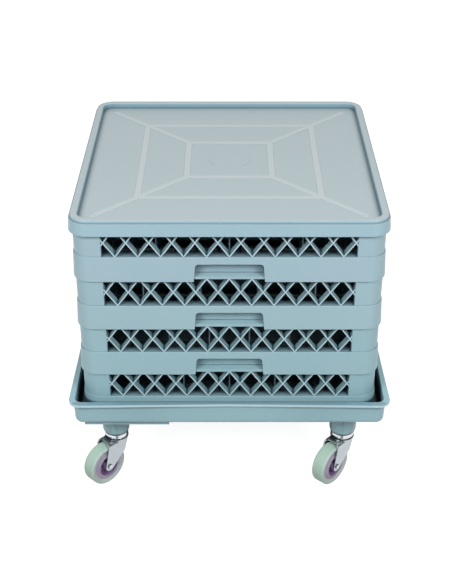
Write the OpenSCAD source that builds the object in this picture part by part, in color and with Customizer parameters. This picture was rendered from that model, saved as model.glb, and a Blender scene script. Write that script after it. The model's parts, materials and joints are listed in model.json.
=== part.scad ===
// Glass rack dolly: four stacked glass racks under a lid, standing in a tray on four swivel casters.
// Millimetres, +Z up, origin on the floor under the middle of the tray, front towards -Y.

/* [Rack frame] */
// Width of a rack over the bottom edge of its skirt
rack_w = 500; // [460:1:540]
// Height of a rack from the skirt's bottom edge to the top of the rim
rack_h = 97.2; // [88:0.1:140]
// Radius of the rack's upright corners, at the skirt's bottom edge
rack_r = 31; // [26:0.5:40]
// Thickness of the outer skirt
skirt_t = 2.4; // [1.8:0.1:3.2]
// How far the skirt flares out from the band's top to its bottom edge
skirt_flare = 1.8; // [0.4:0.1:2.4]
// Height of the closed band below the lattice windows
band_h = 43.6; // [40:0.1:50]
// Bevel along the band's top edge
band_bevel = 0.6; // [0.2:0.1:1]
// Thickness of the window sill that joins skirt and inner wall
sill_t = 2.4; // [1.8:0.1:4]
// Depth of the upper wall, the rim and the lattice
wall_depth = 15.5; // [12:0.1:18]
// Thickness of the inner wall behind the skirt
inner_t = 2.2; // [1.6:0.1:3.5]
// How deep a rack's rim nests in the skirt of the rack above it
nest_depth = 7.9; // [5:0.1:12]
// Play between a rack's rim and the skirt's bottom edge around it
nest_gap = 0.8; // [0.8:0.1:2]
// Height of the rim bar over the lattice windows
rim_t = 4.4; // [3:0.1:8]

/* [Lattice windows] */
// Width of the closed wall beside a window, from the upper wall's corner
post_w = 45.8; // [34:0.1:90]
// Distance between two crossings of the lattice
lattice_pitch = 35.9; // [25:0.1:60]
// Thickness of a lattice web
web_t = 2.1; // [1.2:0.1:4]

/* [Handle notch] */
// Width of the handle notch at the skirt's bottom edge
notch_w = 113; // [80:1:150]
// How far each side of the notch draws in on its way up
notch_taper_w = 2.5; // [0:0.1:5]
// Height of the notch
notch_h = 31; // [20:0.5:36]
// Radius of the notch's two upper corners
notch_r = 6; // [2:0.5:10]
// Height of the drain gap under the inner wall, behind the notch
drain_h = 1.5; // [0.5:0.1:3]

/* [Rack floor and dividers] */
// Thickness of the floor grid
floor_t = 4; // [2:0.1:6]
// Distance between two bars of the floor grid
floor_pitch = 35; // [20:0.5:60]
// Width of a bar of the floor grid
floor_bar = 4; // [2:0.1:8]
// Thickness of a divider strip
divider_t = 2; // [1.2:0.1:3]
// Play between a divider's end and the wall
divider_gap = 0.3; // [0.1:0.05:1]
// Play of a divider in the slot of the one that it crosses
slot_gap = 0.15; // [0.05:0.05:0.4]
// Compartments along each side of rack 1, the top one
cells_1 = 4; // [2:1:8]
// Compartments along each side of rack 2
cells_2 = 5; // [2:1:8]
// Compartments along each side of rack 3
cells_3 = 7; // [2:1:8]
// Compartments along each side of rack 4, the bottom one
cells_4 = 6; // [2:1:8]

/* [Lid] */
// Radius of the lid's upright corners
lid_r = 33; // [30:0.5:38]
// Wall thickness of the lid's skirt
lid_t = 2.5; // [1.8:0.1:3.5]
// Play between the lid's skirt and the rack under it, at the skirt's lower edge
lid_gap = 3.8; // [2.4:0.1:5]
// How far the skirt flares out from the step to its lower edge
lid_flare = 1.6; // [0.4:0.1:2.4]
// How far the skirt reaches below the panel
lid_drop = 15.2; // [8:0.1:24]
// How far the raised rim stands above the panel's underside
lid_rise = 11.6; // [7:0.1:20]
// Thickness of the recessed panel
panel_t = 2; // [1.5:0.1:4]
// Width of the raised rim
lid_rim_w = 11.5; // [6:0.1:14]
// How far the raised rim is set back from the skirt's top
lid_step = 2.2; // [0.5:0.1:3]
// Height of the step below the top of the rim
lid_step_drop = 5.3; // [3:0.1:6]
// Rounding along the rim's top edges
lid_top_r = 1.8; // [0.5:0.1:2.4]
// Rounding along the skirt's lower edge
lid_edge_r = 1.2; // [0.4:0.1:1.6]
// Width of the panel's ribs
rib_w = 11; // [6:0.5:16]
// How far the ribs stand above the panel
rib_rise = 0.6; // [0.2:0.1:1.5]
// How far the ribs hang below the panel
rib_drop = 1.6; // [0.4:0.1:2.4]
// Half the width of the inner square of ribs, as a share of half the panel
rib_inner_share = 0.304; // [0.2:0.001:0.4]
// Half the width of the outer square of ribs, as a share of half the panel
rib_outer_share = 0.634; // [0.5:0.001:0.75]
// How far the diagonal ribs reach from the centre lines, as a share of half the panel
rib_reach_share = 0.9; // [0.8:0.001:0.94]
// Radius of the plain round boss in the panel's centre, as a share of half the panel
boss_share = 0.148; // [0.08:0.001:0.18]

/* [Tray] */
// Play between the rack's skirt and the tray wall at the floor
tray_gap = 9.5; // [4:0.5:20]
// Height of the tray from its underside to the rim's top
tray_h = 45; // [35:0.5:70]
// Thickness of the tray's floor
tray_floor_t = 4.5; // [3:0.1:8]
// Thickness of the tray's wall
tray_t = 3.5; // [2.5:0.1:5]
// How far the wall leans out from its foot to the rim
tray_draft = 1.5; // [0.5:0.1:3]
// Radius of the wall's upright corners under the rim
tray_r = 16; // [14:0.5:30]
// Rounding along the wall's lower outer edge
tray_foot_r = 9; // [6:0.5:11]
// How far the rim flange stands out from the wall
flange_out = 6.5; // [6.5:0.5:15]
// Radius of the flange's corners
flange_r = 20; // [12:0.5:40]
// Thickness of the flange
flange_t = 3; // [2:0.1:5]
// How far the flange draws in at the middle of each side
flange_bow = 4; // [1:0.5:4]
// Height of the lip turned down along the flange's edge
lip_h = 4.5; // [3.5:0.1:8]
// Thickness of that lip
lip_t = 1.8; // [1:0.1:2]
// Depth of the ribs under the floor
under_rib_h = 12; // [6:0.5:25]
// Thickness of the ribs under the floor
under_rib_t = 3; // [2:0.1:5]
// Length of the low strip under the front left edge
strip_l = 144; // [60:1:180]
// Distance of the strip's outer end from the wall beside it, under the rim
strip_end_in = 17.5; // [14:0.5:40]
// Distance of the strip's front face from the wall in front of it, under the rim
strip_front_in = 10; // [9.5:0.5:15]
// Thickness of the strip
strip_t = 4; // [2:0.5:8]
// How far the strip hangs below the tray
strip_h = 7; // [3:0.5:12]

/* [Caster wells] */
// Distance of a caster's axis from the tray's wall, under the rim
caster_in = 64; // [60:0.5:90]
// Length of a well below the tray's underside
well_h = 57; // [40:0.5:80]
// Outer radius of a well under the tray
well_top_r = 25; // [22:0.5:30]
// Outer radius of a well above its rounded foot
well_foot_r = 23.3; // [21:0.1:25]
// Outer radius of a well's bottom face
well_face_r = 21.6; // [20:0.1:22]
// Height of a well's rounded foot
well_foot_h = 5; // [2:0.5:8]
// Wall thickness of a well
well_t = 3.6; // [2.5:0.1:5]
// Thickness of a well's bottom plate
well_plate_t = 5; // [3:0.1:8]
// Length of the gussets beside a well
gusset_h = 36; // [20:0.5:50]
// How far a gusset stands out from the well, under the tray
gusset_out = 8; // [4:0.5:14]
// Thickness of a gusset
gusset_t = 3.5; // [2:0.1:6]

/* [Caster] */
// Height of a caster from the floor to the face that meets the well
caster_h = 96; // [84:0.5:110]
// Height of the fork's raised race above its crown
seat_h = 5.4; // [4.5:0.1:7]
// Width of the tread
tread_w = 25; // [20:0.5:25.5]
// Rounding of the tread's shoulders
tread_r = 3.5; // [1:0.1:5]
// Depth of the line round the middle of the tread
tread_line = 0.5; // [0.2:0.1:1]
// Thickness of the tread on the hub
tread_t = 9.5; // [6:0.1:11]
// How far the tread's sides draw in from the shoulders to the hub
tread_dish = 2.2; // [0.4:0.1:3]
// Distance from the swivel axis back to the axle
trail_l = 32; // [24:0.5:36]
// Clear width between the fork's legs
fork_gap = 27; // [26.5:0.1:34]
// Sheet thickness of the fork
fork_t = 2.6; // [2:0.1:3.5]
// Outer radius of the bends between the fork's crown and legs
fork_bend_r = 5; // [4:0.1:6]
// Distance from the wheel's top to the fork's crown
crown_gap = 4.5; // [3:0.1:8]
// Radius of the rounded end of a leg
leg_r = 9; // [7:0.1:11]
// Lean of the leg's leading edge from upright, below its knee
leg_lead_lean = 50; // [42:0.5:54]
// Lean of the leg's leading edge from upright, above its knee
leg_knee_lean = 18; // [8:0.5:24]
// Height of that knee above the axle
leg_knee_h = 18.5; // [14:0.5:24]
// Lean of the leg's trailing edge from upright
leg_trail_lean = 14; // [8:0.5:18]
// How far the crown's trailing edge is cut back between the legs
crown_cut = 3.5; // [1:0.5:6]
// Thickness of the lip round the fork's raised race
race_lip_t = 1.4; // [0.8:0.1:2]
// Height of that lip above the crown
race_lip_h = 1; // [0.4:0.1:1.6]
// Outer radius of the upper race cup
cup_r = 21; // [19.5:0.1:21.5]
// Height of the upper race cup
cup_h = 10; // [8.5:0.1:11]
// Sheet thickness of the cup
cup_t = 1.6; // [1:0.1:2]
// Diameter of a bearing ball
ball_d = 6.2; // [5:0.1:6.6]
// Radius of the circle that the balls run on
ball_ring_r = 14.4; // [14:0.1:15]
// Number of balls
ball_count = 12; // [8:1:12]
// Play above and below the balls, and between race and cup
race_gap = 0.35; // [0.3:0.05:0.6]
// Radius of the stem and kingpin
stem_r = 5; // [4:0.1:6]
// Running clearance of the fork round the kingpin, on the radius
kingpin_gap = 0.05; // [0.02:0.01:0.1]
// Radius of the kingpin's peened head
kingpin_head_r = 8.5; // [7:0.1:10]
// Thickness of the kingpin's head
kingpin_head_t = 2.6; // [2:0.1:4]
// Width across flats of the stem nut
stem_nut_w = 17; // [15:0.5:19]
// Height of the stem nut
stem_nut_h = 8; // [6:0.5:10]
// Radius of the stem nut's flange
nut_flange_r = 10.8; // [10:0.1:14]
// Thickness of the stem nut's flange
nut_flange_t = 1.8; // [1:0.1:3]
// Length of stem that shows above its nut
stem_end = 4; // [1:0.5:8]
// Radius of the axle bolt
axle_r = 2.5; // [2:0.1:3.2]
// Width across flats of the axle bolt's head and nut
axle_head_w = 8; // [7:0.5:13]
// Height of the axle bolt's head
axle_head_h = 2.6; // [2:0.1:6]
// Height of the axle nut
axle_nut_h = 4; // [3:0.1:6]
// Length of bolt that shows past the nut
axle_end = 1; // [0.5:0.1:4]
// Outer radius of the axle sleeve
sleeve_r = 4.5; // [4.2:0.1:6]
// Running clearance of the hub round the sleeve, on the radius
hub_gap = 0.05; // [0.02:0.01:0.1]
// Play of the hub between the fork's legs, each side
hub_side_gap = 0.8; // [0.4:0.1:1.5]
// Wall thickness of the hub's boss round the sleeve
hub_boss_t = 4.8; // [3:0.1:6]
// How far the wall of the hub's dish draws in on its way down
hub_draft = 1.5; // [0.5:0.1:3]
// Thickness of the hub's web
hub_web_t = 5; // [4:0.1:10]
// Bevel along the hub's edges
hub_bevel = 0.8; // [0.4:0.1:1.6]
// Where the ridge round the hub's dish lies, as a share of the way from boss to tread
hub_ridge_share = 0.6; // [0.4:0.01:0.9]
// Direction in which the front left wheel trails, in degrees from +X
swivel_fl = 225.5; // [0:0.5:360]
// Direction in which the front right wheel trails
swivel_fr = 228; // [0:0.5:360]
// Direction in which the rear left wheel trails
swivel_rl = 222; // [0:0.5:360]
// Direction in which the rear right wheel trails
swivel_rr = 231; // [0:0.5:360]

/* [Hidden] */
$fn = 64;
// Overrun of every cut past the face that it opens, and of every root into the solid that carries it
over = 1;
// Clearance of a fastener in its hole, on the radius
hole_gap = 0.1;
// Gap of a bonded or pressed seat, on the radius
seat_gap = 0.03;
// Segments in a rounded edge
edge_steps = 4;
// Segments in a bend or a rounded end
bend_steps = 8;

// Heights of the stack
tray_z = caster_h + well_h;
tray_floor_z = tray_z + tray_floor_t;
rack_pitch = rack_h - nest_depth;
rack_count = 4;
cells = [cells_1, cells_2, cells_3, cells_4];
function rack_z(i) = tray_floor_z + (rack_count - i) * rack_pitch;
lid_seat_z = rack_z(1) + rack_h;
lid_z = lid_seat_z - lid_drop;
lid_h = lid_drop + lid_rise;

// Insets of the rack's walls from the skirt's bottom edge
rack_half = rack_w / 2;
upper_in = skirt_t + nest_gap;
inner_in = upper_in + wall_depth;
upper_half = rack_half - upper_in;
inner_half = rack_half - inner_in;
window_w = 2 * (upper_half - post_w);
window_h = rack_h - rim_t - band_h;

// Lattice holes are diamonds, drawn in by half a web from the web's middle lines
lattice_reach = norm([lattice_pitch, window_h]) / 2;
lattice_share = 1 - web_t * lattice_reach / (lattice_pitch * window_h / 2);
lattice_count = ceil(window_w / 2 / lattice_pitch);

// Dividers
divider_l = 2 * (inner_half - divider_gap);
divider_z = nest_depth + floor_t;
divider_h = rack_h - rim_t - divider_z;
slot_w = divider_t + 2 * slot_gap;
slot_h = divider_h / 2 + slot_gap;

// Lid
lid_half = upper_half + lid_gap + lid_t;
panel_in = lid_flare + lid_step + lid_rim_w + lid_t;
panel_half = lid_half - panel_in;
rib_inner = panel_half * rib_inner_share;
rib_outer = panel_half * rib_outer_share;
rib_reach = panel_half * rib_reach_share;

// Tray
tray_half = rack_half + tray_gap + tray_draft + tray_t;
tray_foot_in = tray_draft + tray_foot_r;
flange_half = tray_half + flange_out;
bow_reach = flange_half - flange_r;
bow_r = (bow_reach * bow_reach + flange_bow * flange_bow) / (2 * flange_bow);

// Caster, in its own frame: swivel axis on Z, wheel trailing towards +X, floor at zero
caster_at = tray_half - caster_in;
seat_top = caster_h - cup_t - ball_d - 2 * race_gap;
crown_top = seat_top - seat_h;
crown_z = crown_top - fork_t;
wheel_r = (crown_z - crown_gap) / 2;
hub_r = wheel_r - tread_t;
cup_z = caster_h - cup_h;
seat_r = cup_r - cup_t - race_gap;
leg_half = fork_gap / 2;
fork_half = leg_half + fork_t;
stem_nut_z = caster_h + well_plate_t;
leg_lead = 180 + leg_lead_lean;
tread_lip = tread_w / 2 - tread_dish;
hub_half = leg_half - hub_side_gap;

// Casters: name, side on X, side on Y, direction of trail
casters = [
    ["fl", -1, -1, swivel_fl],
    ["fr", 1, -1, swivel_fr],
    ["rl", -1, 1, swivel_rl],
    ["rr", 1, 1, swivel_rr]
];
caster_pieces = ["race_cup", "balls", "fork", "axle_bolt", "axle_nut", "sleeve", "hub", "tread"];
rack_pieces = ["sides", "corners", "lattice", "floor", "long_dividers", "cross_dividers"];

// Colours
lid_colour = [0.70, 0.79, 0.82];
rack_colour = [0.62, 0.74, 0.78];
divider_colour = [0.55, 0.68, 0.72];
tray_colour = [0.57, 0.71, 0.74];
chrome_colour = [0.78, 0.80, 0.82];
steel_colour = [0.66, 0.67, 0.69];
hub_colour = [0.42, 0.31, 0.48];
tread_colour = [0.64, 0.74, 0.69];

// Points on an arc, both ends included
function arc(centre, r, from, to, steps) =
    [for (i = [0 : steps]) let (a = from + (to - from) * i / steps) centre + r * [cos(a), sin(a)]];

// Distance along a row of compartments to the divider number i, from the middle
function divider_at(count, i) = (i / count - 1 / 2) * 2 * inner_half;

// Square with rounded corners, given half its width
module rounded_square(half, r) {
    square([2 * half, 2 * (half - r)], center = true);
    square([2 * (half - r), 2 * half], center = true);
    for (sx = [-1, 1], sy = [-1, 1])
        translate([sx, sy] * (half - r))
            circle(r);
}

// Profile swept along the straight sides of a square with rounded corners: the profile's x is the
// distance outside the square's edge, its y the height
module swept_sides(half, r) {
    run = 2 * (half - r);
    for (turn = [0 : 90 : 270]) rotate(turn)
        translate([-run / 2, half, 0])
            rotate([90, 0, 90])
                linear_extrude(run)
                    children();
}

// The same profile turned round that square's corners
module swept_corners(half, r) {
    for (turn = [0 : 90 : 270]) rotate(turn)
        translate([half - r, half - r, 0])
            rotate_extrude(angle = 90)
                translate([r, 0])
                    children();
}

module swept_frame(half, r) {
    swept_sides(half, r) children();
    swept_corners(half, r) children();
}

// Rack: section of the wall, before the windows are cut: skirt, sill and inner wall, open underneath
// for the rim of the rack below, and the upper wall with the rack's own rim
module rack_profile() {
    lean_share = (band_h - sill_t) / band_h;
    polygon([
        [0, 0],
        [-skirt_flare, band_h - band_bevel],
        [-skirt_flare - band_bevel, band_h],
        [-upper_in, band_h],
        [-upper_in, rack_h],
        [-inner_in, rack_h],
        [-inner_in, nest_depth],
        [-inner_in + inner_t, nest_depth],
        [-inner_in + inner_t, band_h - sill_t],
        [-skirt_t - skirt_flare * lean_share, band_h - sill_t],
        [-skirt_t, 0]
    ]);
}

// Rack: outline of a handle notch, standing on the skirt's bottom edge
module notch_outline() {
    foot = notch_w / 2;
    lean = atan(notch_taper_w / notch_h);
    bend_z = notch_h - notch_r;
    bend_x = foot - notch_taper_w * bend_z / notch_h - notch_r / cos(lean);
    polygon(concat(
        [[-foot, -over], [foot, -over], [foot, 0]],
        arc([bend_x, bend_z], notch_r, lean, 90, bend_steps),
        arc([-bend_x, bend_z], notch_r, 90, 180 - lean, bend_steps),
        [[-foot, 0]]
    ));
}

// Rack: the four straight walls, each with its window, its handle notch and its drain gap
module rack_sides() {
    color(rack_colour)
    difference() {
        swept_sides(rack_half, rack_r)
            rack_profile();
        for (turn = [0, 90]) rotate(turn)
            translate([-rack_half, -window_w / 2, band_h])
                cube([rack_w, window_w, window_h]);
        for (turn = [0 : 90 : 270]) rotate(turn)
            translate([0, rack_half + over, 0])
                rotate([90, 0, 0])
                    linear_extrude(over + (inner_in - inner_t) / 2)
                        notch_outline();
        for (turn = [0 : 90 : 270]) rotate(turn)
            translate([-notch_w / 2, inner_half - over, nest_depth - over])
                cube([notch_w, inner_t + 2 * over, drain_h + over]);
    }
}

module rack_corners() {
    color(rack_colour)
        swept_corners(rack_half, rack_r)
            rack_profile();
}

// Rack: crossed webs that fill a window, as the window less its diamond holes
module lattice_outline() {
    hole = lattice_share * [lattice_pitch, window_h] / 2;
    difference() {
        translate([-window_w / 2, 0])
            square([window_w, window_h]);
        for (i = [-2 * lattice_count : 2 * lattice_count])
            for (z = i % 2 == 0 ? [window_h / 2] : [0, window_h])
                translate([i * lattice_pitch / 2, z])
                    polygon([[hole.x, 0], [0, hole.y], [-hole.x, 0], [0, -hole.y]]);
    }
}

module rack_lattice() {
    color(rack_colour)
    for (turn = [0 : 90 : 270]) rotate(turn)
        translate([0, upper_half, band_h])
            rotate([90, 0, 0])
                linear_extrude(wall_depth)
                    lattice_outline();
}

module rack_floor() {
    holes = floor((2 * inner_half - floor_bar) / floor_pitch);
    hole = floor_pitch - floor_bar;
    color(rack_colour)
    translate([0, 0, nest_depth])
        linear_extrude(floor_t)
            difference() {
                rounded_square(inner_half, rack_r - inner_in);
                for (ix = [1 : holes], iy = [1 : holes])
                    translate([ix - (holes + 1) / 2, iy - (holes + 1) / 2] * floor_pitch)
                        square(hole, center = true);
            }
}

// Rack: side view of a divider strip; its slots start at slot_z and take the strips that cross it
module divider_outline(count, slot_z) {
    difference() {
        translate([-divider_l / 2, 0])
            square([divider_l, divider_h]);
        for (i = [1 : count - 1])
            translate([divider_at(count, i) - slot_w / 2, slot_z])
                square([slot_w, slot_h + over]);
    }
}

// Rack: row of dividers along X, each standing on the floor grid
module divider_row(count, slot_z) {
    for (i = [1 : count - 1])
        translate([0, divider_at(count, i) + divider_t / 2, divider_z])
            rotate([90, 0, 0])
                linear_extrude(divider_t)
                    divider_outline(count, slot_z);
}

module rack_long_dividers(count) {
    color(divider_colour)
        divider_row(count, divider_h - slot_h);
}

module rack_cross_dividers(count) {
    color(divider_colour)
        rotate(90)
            divider_row(count, -over);
}

// Lid: skirt, step and raised rim, with a stub of the panel
module lid_profile() {
    step_z = lid_h - lid_step_drop;
    rim_out = -lid_flare - lid_step;
    rim_in = rim_out - lid_rim_w;
    top_z = lid_h - lid_top_r;
    polygon(concat(
        arc([-lid_edge_r, lid_edge_r], lid_edge_r, 270, 360, edge_steps),
        [[-lid_flare, step_z], [rim_out, step_z]],
        arc([rim_out - lid_top_r, top_z], lid_top_r, 0, 90, edge_steps),
        arc([rim_in + lid_top_r, top_z], lid_top_r, 90, 180, edge_steps),
        [[rim_in, lid_drop + panel_t], [-panel_in, lid_drop + panel_t]],
        [[-panel_in, lid_drop], [-lid_t - lid_flare * lid_drop / step_z, lid_drop], [-lid_t, 0]]
    ));
}

// Lid: square ring of ribs, given half its width to the middle of the rib
module rib_square(half) {
    difference() {
        square(2 * half + rib_w, center = true);
        square(2 * half - rib_w, center = true);
    }
}

module lid_ribs() {
    linear_extrude(rib_drop + panel_t + rib_rise) {
        rib_square(rib_inner);
        rib_square(rib_outer);
        circle(panel_half * boss_share);
        for (turn = [45 : 90 : 315]) rotate(turn)
            translate([rib_inner * sqrt(2), -rib_w / 2])
                square([(rib_reach - rib_inner) * sqrt(2), rib_w]);
    }
}

module lid() {
    color(lid_colour) {
        translate([0, 0, lid_z])
            swept_frame(lid_half, lid_r)
                lid_profile();
        translate([0, 0, lid_seat_z])
            linear_extrude(panel_t)
                rounded_square(panel_half, lid_r - panel_in);
        translate([0, 0, lid_seat_z - rib_drop])
            lid_ribs();
    }
}

// Tray: wall with a rounded foot, with a stub of the floor
module tray_profile() {
    inner_r = tray_foot_r - tray_t;
    inner_x = -tray_t - tray_draft;
    polygon(concat(
        arc([-tray_foot_in, tray_foot_r], tray_foot_r, 270, 360, bend_steps),
        [[0, tray_h], [-tray_t, tray_h]],
        arc([inner_x - inner_r, tray_floor_t + inner_r], inner_r, 0, -90, edge_steps)
    ));
}

// Tray: outline of the flange, drawn in along each side; inset moves it inwards
module flange_outline(inset) {
    difference() {
        rounded_square(flange_half - inset, flange_r - inset);
        for (turn = [0 : 90 : 270]) rotate(turn)
            translate([0, flange_half - flange_bow + bow_r])
                circle(bow_r + inset, $fn = 720);
    }
}

module tray_rim() {
    translate([0, 0, tray_h - flange_t])
        linear_extrude(flange_t)
            difference() {
                flange_outline(0);
                rounded_square(tray_half - tray_t / 2, tray_r - tray_t / 2);
            }
    translate([0, 0, tray_h - lip_h])
        linear_extrude(lip_h)
            difference() {
                flange_outline(0);
                flange_outline(lip_t);
            }
}

// Tray: outside of a caster well, hanging from the tray's underside
module well_outside() {
    translate([0, 0, -well_h])
        cylinder(well_foot_h, well_face_r, well_foot_r);
    translate([0, 0, well_foot_h - well_h])
        cylinder(well_h - well_foot_h, well_foot_r, well_top_r);
    cylinder(tray_floor_t, well_top_r, well_top_r);
    for (turn = [0 : 90 : 270]) rotate(turn)
        translate([0, gusset_t / 2, 0])
            rotate([90, 0, 0])
                linear_extrude(gusset_t)
                    polygon([
                        [well_face_r - well_t, over],
                        [well_top_r + gusset_out, over],
                        [well_top_r + gusset_out, 0],
                        [well_foot_r, -gusset_h],
                        [well_face_r - well_t, -gusset_h]
                    ]);
}

// Tray: inside of a caster well, open to the tray's floor, with the hole for the stem
module well_inside() {
    translate([0, 0, well_plate_t - well_h])
        cylinder(well_h - well_plate_t + tray_floor_t + over, well_foot_r - well_t, well_top_r - well_t);
    translate([0, 0, -well_h - over])
        cylinder(well_plate_t + 2 * over, r = stem_r + hole_gap);
}

module at_wells() {
    for (c = casters)
        translate([c[1], c[2]] * caster_at)
            children();
}

module tray_under_ribs() {
    for (turn = [0 : 90 : 270]) rotate(turn)
        translate([-caster_at, caster_at - under_rib_t / 2, -under_rib_h])
            cube([2 * caster_at, under_rib_t, under_rib_h + over]);
}

module tray() {
    color(tray_colour)
    translate([0, 0, tray_z])
    difference() {
        union() {
            swept_frame(tray_half, tray_r)
                tray_profile();
            linear_extrude(tray_floor_t)
                rounded_square(tray_half - tray_foot_in, tray_r - tray_foot_in);
            tray_rim();
            tray_under_ribs();
            translate([strip_end_in - tray_half, strip_front_in - tray_half, -strip_h])
                cube([strip_l, strip_t, strip_h + over]);
            at_wells() well_outside();
        }
        at_wells() well_inside();
    }
}

// Caster pieces, each in the caster's own frame
module at_caster(c) {
    translate([c[1], c[2]] * caster_at)
        rotate(c[3])
            children();
}

module at_axle() {
    translate([trail_l, 0, wheel_r])
        rotate([-90, 0, 0])
            children();
}

module hexagon(width) {
    circle(width / sqrt(3), $fn = 6);
}

module caster_stems() {
    head_z = crown_z - race_gap - kingpin_head_t;
    color(steel_colour)
    at_wells()
        translate([0, 0, head_z]) {
            cylinder(kingpin_head_t, kingpin_head_r - kingpin_head_t / 2, kingpin_head_r);
            cylinder(stem_nut_z + stem_nut_h + stem_end - head_z, r = stem_r);
        }
}

module caster_race_cup() {
    color(chrome_colour)
    rotate_extrude()
        polygon(concat(
            [[stem_r + seat_gap, caster_h - cup_t], [cup_r - cup_t, caster_h - cup_t]],
            [[cup_r - cup_t, cup_z], [cup_r, cup_z]],
            arc([cup_r - cup_t, caster_h - cup_t], cup_t, 0, 90, edge_steps),
            [[stem_r + seat_gap, caster_h]]
        ));
}

module caster_balls() {
    color(steel_colour)
    for (i = [1 : ball_count])
        rotate(i * 360 / ball_count)
            translate([ball_ring_r, 0, seat_top + race_gap + ball_d / 2])
                sphere(d = ball_d, $fn = 24);
}

// Fork: cross section of the bent sheet, seen along the direction of travel
module fork_section() {
    inner_r = fork_bend_r - fork_t;
    bend_z = crown_top - fork_bend_r;
    bend_y = fork_half - fork_bend_r;
    polygon(concat(
        [[fork_half, 0]],
        arc([bend_y, bend_z], fork_bend_r, 0, 90, bend_steps),
        arc([-bend_y, bend_z], fork_bend_r, 90, 180, bend_steps),
        [[-fork_half, 0], [-leg_half, 0]],
        arc([-bend_y, bend_z], inner_r, 180, 90, bend_steps),
        arc([bend_y, bend_z], inner_r, 90, 0, bend_steps),
        [[leg_half, 0]]
    ));
}

// Fork: side view, from the crown down to the round ends about the axle
function leg_edge_x(angle, z) = trail_l + (leg_r - (z - wheel_r) * sin(angle)) / cos(angle);
module fork_side() {
    top = crown_top + over;
    knee_z = wheel_r + leg_knee_h;
    knee_x = leg_edge_x(leg_lead, knee_z);
    polygon(concat(
        [[knee_x - (top - knee_z) * tan(leg_knee_lean), top], [knee_x, knee_z]],
        arc([trail_l, wheel_r], leg_r, leg_lead, 360 + leg_trail_lean, 2 * bend_steps),
        [[leg_edge_x(leg_trail_lean, top), top]]
    ));
}

module caster_fork() {
    fork_l = 2 * (trail_l + wheel_r);
    flat_half = fork_half - fork_bend_r;
    cut_x = leg_edge_x(leg_trail_lean, crown_top) - crown_cut;
    color(chrome_colour)
    difference() {
        union() {
            intersection() {
                translate([-fork_l / 2, 0, 0])
                    rotate([90, 0, 90])
                        linear_extrude(fork_l)
                            fork_section();
                translate([0, fork_half + over, 0])
                    rotate([90, 0, 0])
                        linear_extrude(2 * (fork_half + over))
                            fork_side();
            }
            translate([0, 0, crown_z])
                cylinder(seat_top - crown_z, r = seat_r);
            translate([0, 0, crown_top + race_lip_h])
                cylinder(race_lip_t, r = cup_r);
        }
        translate([cut_x, -flat_half, crown_z - over])
            cube([fork_l, 2 * flat_half, fork_t + 2 * over]);
        translate([0, 0, crown_z - over])
            cylinder(caster_h, r = stem_r + kingpin_gap);
        at_axle()
            cylinder(2 * (fork_half + over), r = axle_r + hole_gap, center = true);
    }
}

module caster_axle_bolt() {
    color(steel_colour)
    at_axle() {
        translate([0, 0, fork_half])
            linear_extrude(axle_head_h)
                hexagon(axle_head_w);
        translate([0, 0, -fork_half - axle_nut_h - axle_end])
            cylinder(2 * fork_half + axle_nut_h + axle_end + over, r = axle_r);
    }
}

module caster_axle_nut() {
    color(steel_colour)
    at_axle()
        translate([0, 0, -fork_half - axle_nut_h])
            linear_extrude(axle_nut_h)
                difference() {
                    hexagon(axle_head_w);
                    circle(axle_r + seat_gap);
                }
}

module caster_sleeve() {
    color(steel_colour)
    at_axle()
        translate([0, 0, -leg_half])
            linear_extrude(fork_gap)
                difference() {
                    circle(sleeve_r);
                    circle(axle_r + hole_gap);
                }
}

// Hub: cone, ridge, dish and boss, one side of its section from the tread in to the bore
function hub_side() =
    let (
        bore = sleeve_r + hub_gap,
        boss = bore + hub_boss_t,
        ridge = boss + (hub_r - boss) * hub_ridge_share,
        dish = ridge - hub_bevel - hub_draft,
        web_half = hub_web_t / 2
    ) [
        [hub_r, tread_lip],
        [ridge, hub_half],
        [ridge - hub_bevel, hub_half],
        [dish, web_half + hub_bevel],
        [dish - hub_bevel, web_half],
        [boss + hub_bevel, web_half],
        [boss, hub_half - hub_bevel],
        [boss - hub_bevel, hub_half],
        [bore, hub_half]
    ];

module caster_hub() {
    side = hub_side();
    color(hub_colour)
    at_axle()
        rotate_extrude()
            polygon(concat(side, [for (i = [len(side) - 1 : -1 : 0]) [side[i].x, -side[i].y]]));
}

module caster_tread() {
    side = tread_w / 2;
    inner = hub_r + seat_gap;
    color(tread_colour)
    at_axle()
        rotate_extrude()
            polygon(concat(
                [[inner, -tread_lip]],
                arc([wheel_r - tread_r, tread_r - side], tread_r, 270, 360, edge_steps),
                [[wheel_r, -tread_line], [wheel_r - tread_line, 0], [wheel_r, tread_line]],
                arc([wheel_r - tread_r, side - tread_r], tread_r, 0, 90, edge_steps),
                [[inner, tread_lip]]
            ));
}

module caster_stem_nuts() {
    color(steel_colour)
    at_wells()
        translate([0, 0, stem_nut_z])
            difference() {
                union() {
                    cylinder(nut_flange_t, r = nut_flange_r);
                    linear_extrude(stem_nut_h)
                        hexagon(stem_nut_w);
                }
                translate([0, 0, -over])
                    cylinder(stem_nut_h + 2 * over, r = stem_r + seat_gap);
            }
}

tray();
caster_stems();
caster_stem_nuts();
lid();
for (c = casters) {
    name = str("caster_", c[0], "_");
    at_caster(c) caster_race_cup();
    at_caster(c) caster_balls();
    at_caster(c) caster_fork();
    at_caster(c) caster_axle_bolt();
    at_caster(c) caster_axle_nut();
    at_caster(c) caster_sleeve();
    at_caster(c) caster_hub();
    at_caster(c) caster_tread();
}
for (i = [1 : rack_count]) translate([0, 0, rack_z(i)]) {
    name = str("rack_", i, "_");
    rack_sides();
    rack_corners();
    rack_lattice();
    rack_floor();
    rack_long_dividers(cells[i - 1]);
    rack_cross_dividers(cells[i - 1]);
}
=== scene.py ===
# %% [markdown]
# Glass rack dolly.
# This lesson dresses a stack of moulded glass racks, their lid and the tray on casters that carries them.
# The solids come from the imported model, so every piece is already at its real size and place, in metres.
# What is left for Blender is what the eye sees: soft edges, plastics, plated steel, light and a camera.

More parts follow.
